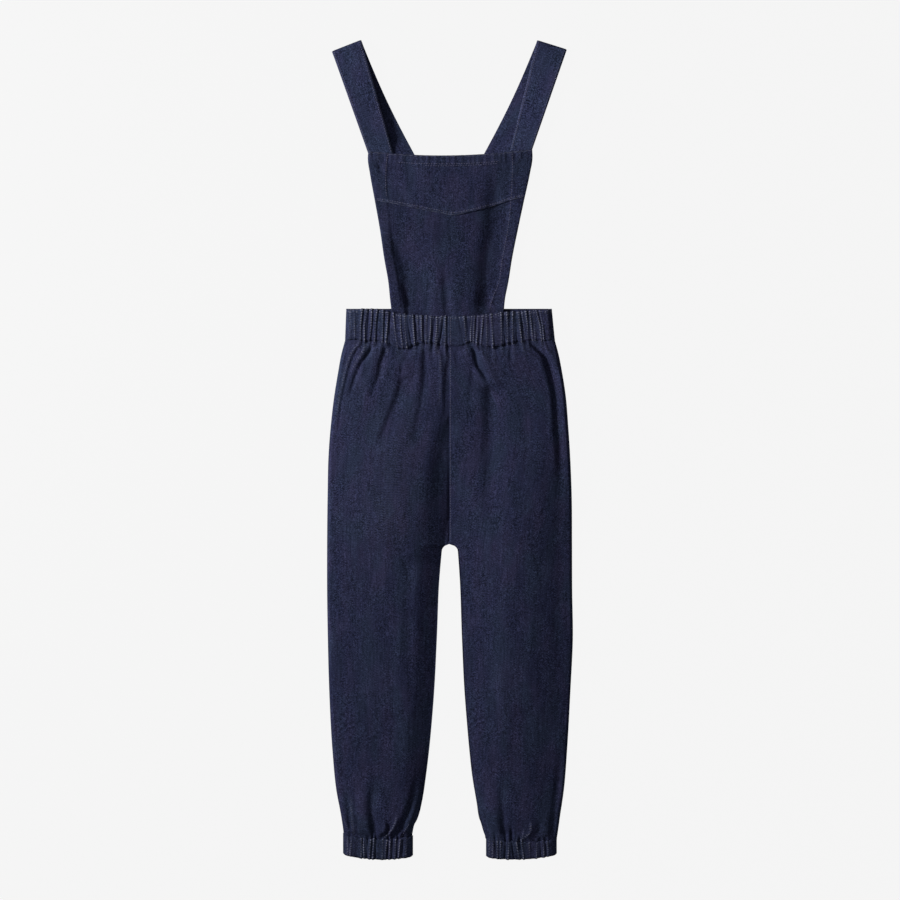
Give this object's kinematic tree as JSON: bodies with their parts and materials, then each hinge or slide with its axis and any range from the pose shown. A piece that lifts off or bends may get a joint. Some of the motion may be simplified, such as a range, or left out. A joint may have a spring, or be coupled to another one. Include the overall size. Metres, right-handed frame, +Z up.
{
  "type": "kids dungarees",
  "caption": "Child's dungarees laid flat: gathered elastic waistband and ankle cuffs, bib with a V-shaped yoke seam, and wide shoulder straps folded over and crossed behind.",
  "frame": {"origin": "on the surface that the garment lies on, under the middle of its outline", "axes": "+X towards the wearer's left, +Y from the cuffs to the straps, +Z up from the surface"},
  "size_m": [0.2953, 0.9829, 0.0162],
  "materials": {
    "denim_panels": "dark indigo cotton twill, matt, with fine purple and blue flecks",
    "denim_gathered": "the same twill, gathered over elastic, with slightly rubbed ridges",
    "denim_straps": "the same twill in two layers, with topstitched edges",
    "thread": "dull lilac-grey sewing thread"
  },
  "bodies": {
    "root": {"bib_panel": "denim_panels", "bib_yoke": "denim_panels", "cuff_left": "denim_gathered", "cuff_right": "denim_gathered", "leg_back_left": "denim_panels", "leg_back_right": "denim_panels", "leg_front_left": "denim_panels", "leg_front_right": "denim_panels", "strap_left": "denim_straps", "strap_right": "denim_straps", "waistband_back": "denim_gathered", "waistband_front": "denim_gathered"}
  },
  "joints": []
}
